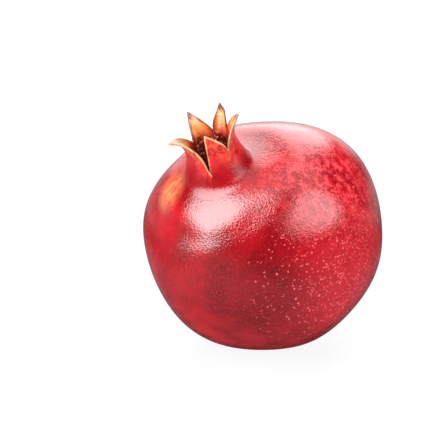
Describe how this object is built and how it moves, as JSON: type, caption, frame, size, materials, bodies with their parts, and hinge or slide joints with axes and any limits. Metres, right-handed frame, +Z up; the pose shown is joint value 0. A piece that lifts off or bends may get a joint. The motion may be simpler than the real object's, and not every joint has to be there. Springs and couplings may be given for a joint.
{
  "type": "pomegranate",
  "caption": "Whole ripe pomegranate with glossy leathery red rind and an open calyx crown of pointed lobes over dried stamens, lying on a small flat spot.",
  "frame": {"origin": "middle of the small flat spot that the fruit rests on", "axes": "+Z up from the surface it lies on; the crown leans up and towards -Y, and the stem end is low at +Y"},
  "size_m": [0.0897, 0.0931, 0.0991],
  "materials": {
    "rind": "waxy gloss",
    "dried_stamens": "dry and matte",
    "stem_wood": "dry bark"
  },
  "bodies": {
    "root": {"fruit": "rind", "stamens": "dried_stamens", "stem_stub": "stem_wood"}
  },
  "joints": []
}
